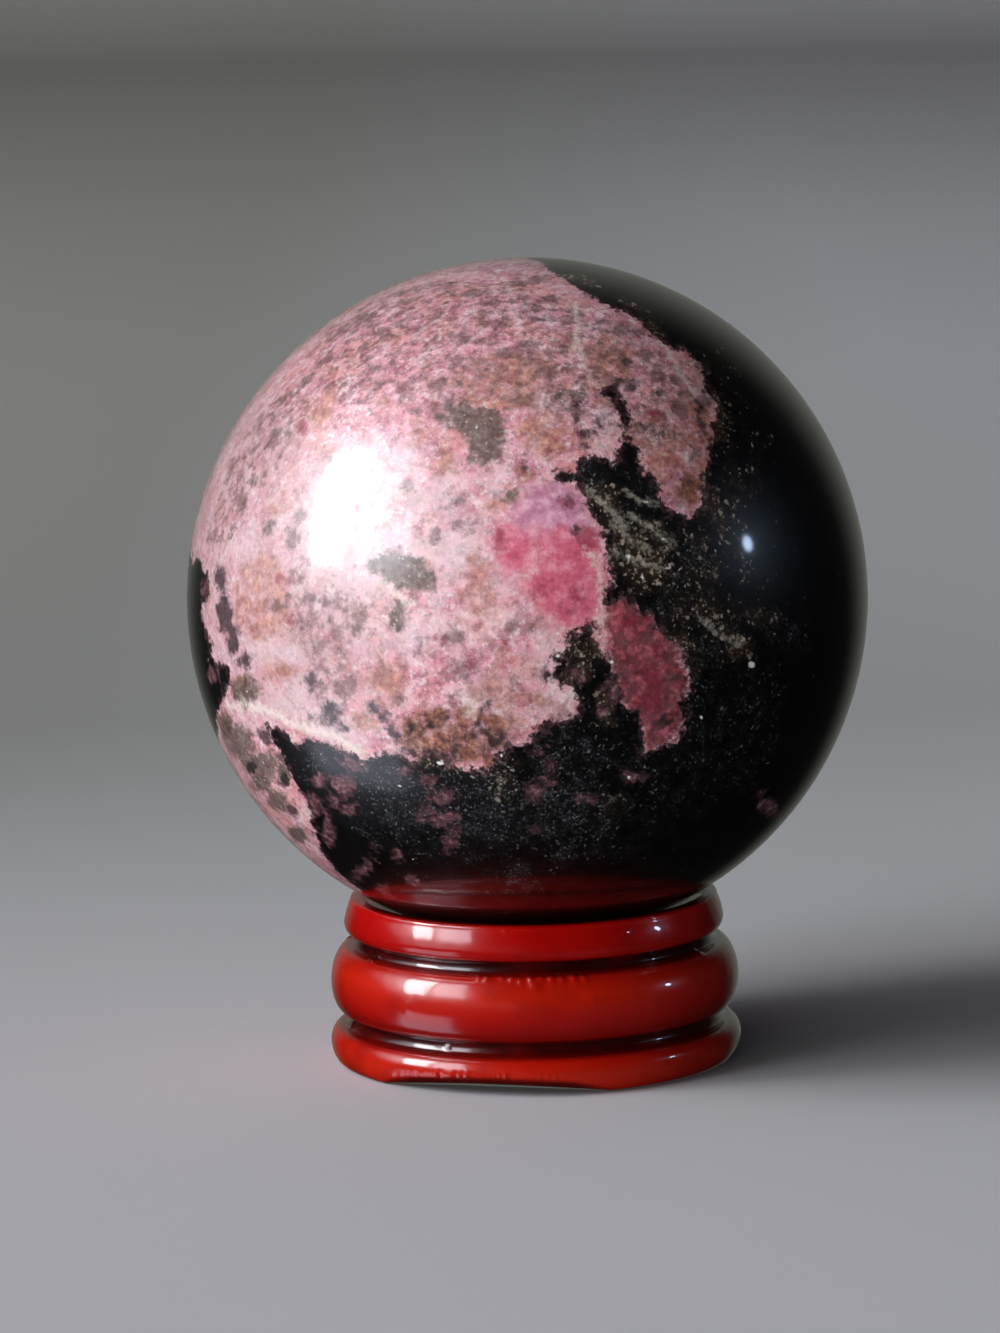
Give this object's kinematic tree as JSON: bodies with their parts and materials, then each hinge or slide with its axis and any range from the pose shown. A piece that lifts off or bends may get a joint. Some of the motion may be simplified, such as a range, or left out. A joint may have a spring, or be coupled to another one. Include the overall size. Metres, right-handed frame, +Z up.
{
  "type": "rhodonite sphere on a ring stand",
  "caption": "Polished ball of pink and black rhodonite resting in the dished rim of a low turned wooden ring stand with arched feet.",
  "frame": {"origin": "centre of the stand's footprint, on the surface that it stands on", "axes": "+Z up through the centres of the stand and the ball; -Y is the front, where the pink face shows with one arch of the stand just left of the middle; +X is to the right"},
  "size_m": [0.05, 0.05, 0.0592],
  "materials": {
    "polished_rhodonite": "polished to a mirror gloss, salmon pink and rose with black manganese oxide patches and veins",
    "red_lacquered_wood": "turned wood under a thick glossy red lacquer, with small runs and beads along the edges"
  },
  "bodies": {
    "root": {"rhodonite_ball": "polished_rhodonite", "ring_stand": "red_lacquered_wood"}
  },
  "joints": []
}
